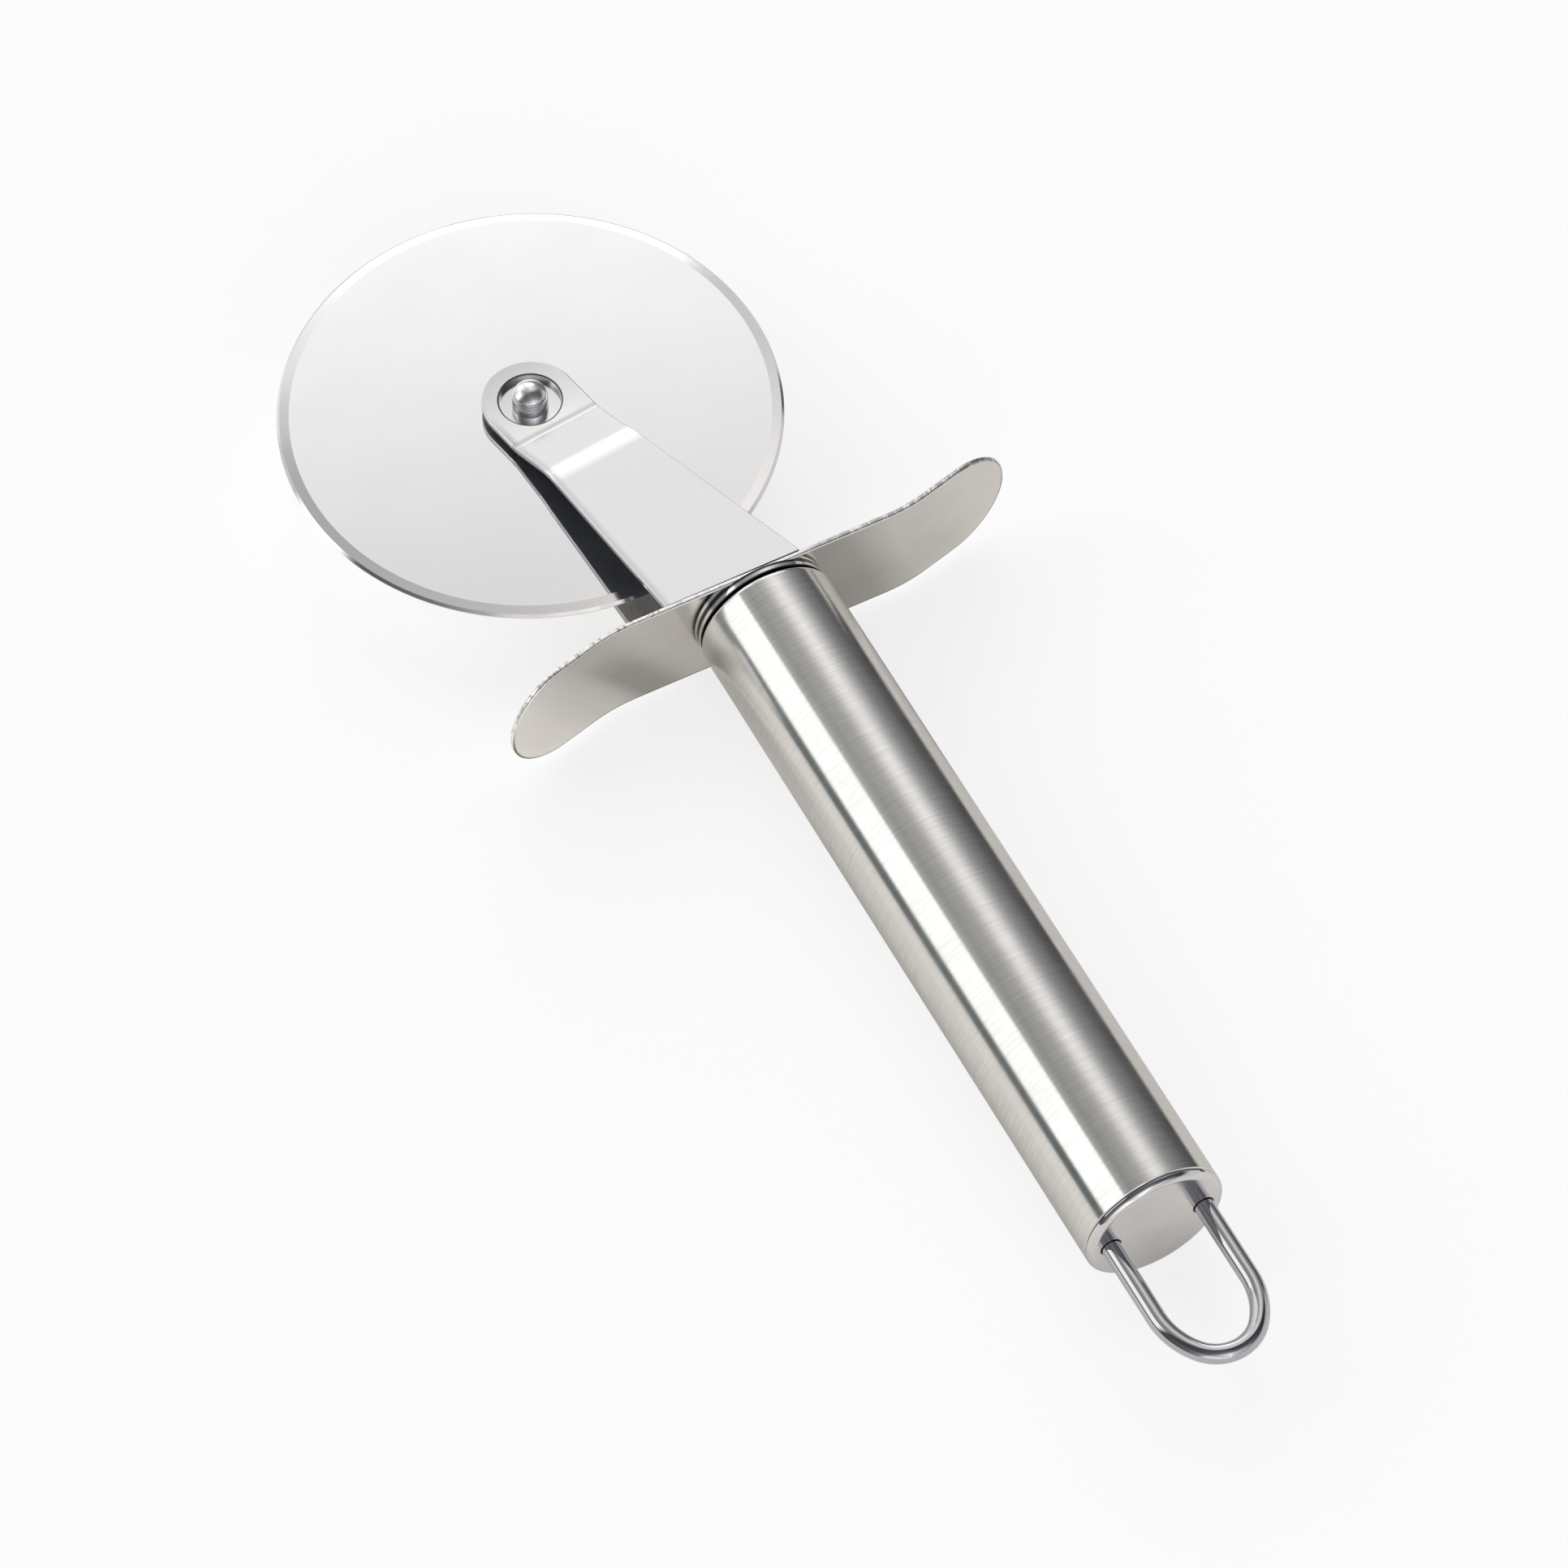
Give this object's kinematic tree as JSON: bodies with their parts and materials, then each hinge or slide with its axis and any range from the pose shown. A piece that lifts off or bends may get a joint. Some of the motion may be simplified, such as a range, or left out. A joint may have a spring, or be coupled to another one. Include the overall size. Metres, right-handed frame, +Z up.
{
  "type": "pizza wheel cutter",
  "caption": "Rolling pizza cutter: round bevelled blade in a sheet fork, curved finger guard, brushed tubular handle and wire hanging loop.",
  "frame": {"origin": "under the middle of the object, on the surface that it lies on", "axes": "+X along the handle from the blade to the hanging loop, +Z up and square to the blade, +Y to the left of +X"},
  "size_m": [0.1988, 0.0826, 0.0188],
  "materials": {
    "blade_steel": "polished stainless steel with a ground bevel",
    "bearing_bronze": "plain bearing bronze",
    "washer_plastic": "natural nylon",
    "arm_steel": "satin stainless sheet",
    "pin_steel": "turned stainless steel",
    "fastener_steel": "plain stainless hardware",
    "guard_steel": "satin stainless sheet with a sheared edge",
    "collar_steel": "turned stainless steel",
    "tube_steel": "brushed around the tube",
    "plug_aluminium": "machined",
    "cap_steel": "polished rim with a satin face",
    "loop_chrome": "bright chrome wire"
  },
  "bodies": {
    "handle": {"arm_upper": "arm_steel", "arm_lower": "arm_steel", "axle_pin": "pin_steel", "axle_cap": "pin_steel", "thrust_washers": "washer_plastic", "fork_base": "arm_steel", "lock_washers": "fastener_steel", "fork_screws": "fastener_steel", "guard": "guard_steel", "neck_collar": "collar_steel", "handle_tube": "tube_steel", "front_plug": "plug_aluminium", "end_cap": "cap_steel", "loop_retainer": "fastener_steel", "hanging_loop": "loop_chrome"},
    "wheel": {"wheel_blade": "blade_steel", "wheel_bush": "bearing_bronze"}
  },
  "joints": [
    {"name": "wheel_spin", "type": "hinge", "parent": "handle", "child": "wheel", "pos_m": [-0.06639, -0.00825, 0.0094], "axis": [0, 0, 1], "continuous": true}
  ]
}
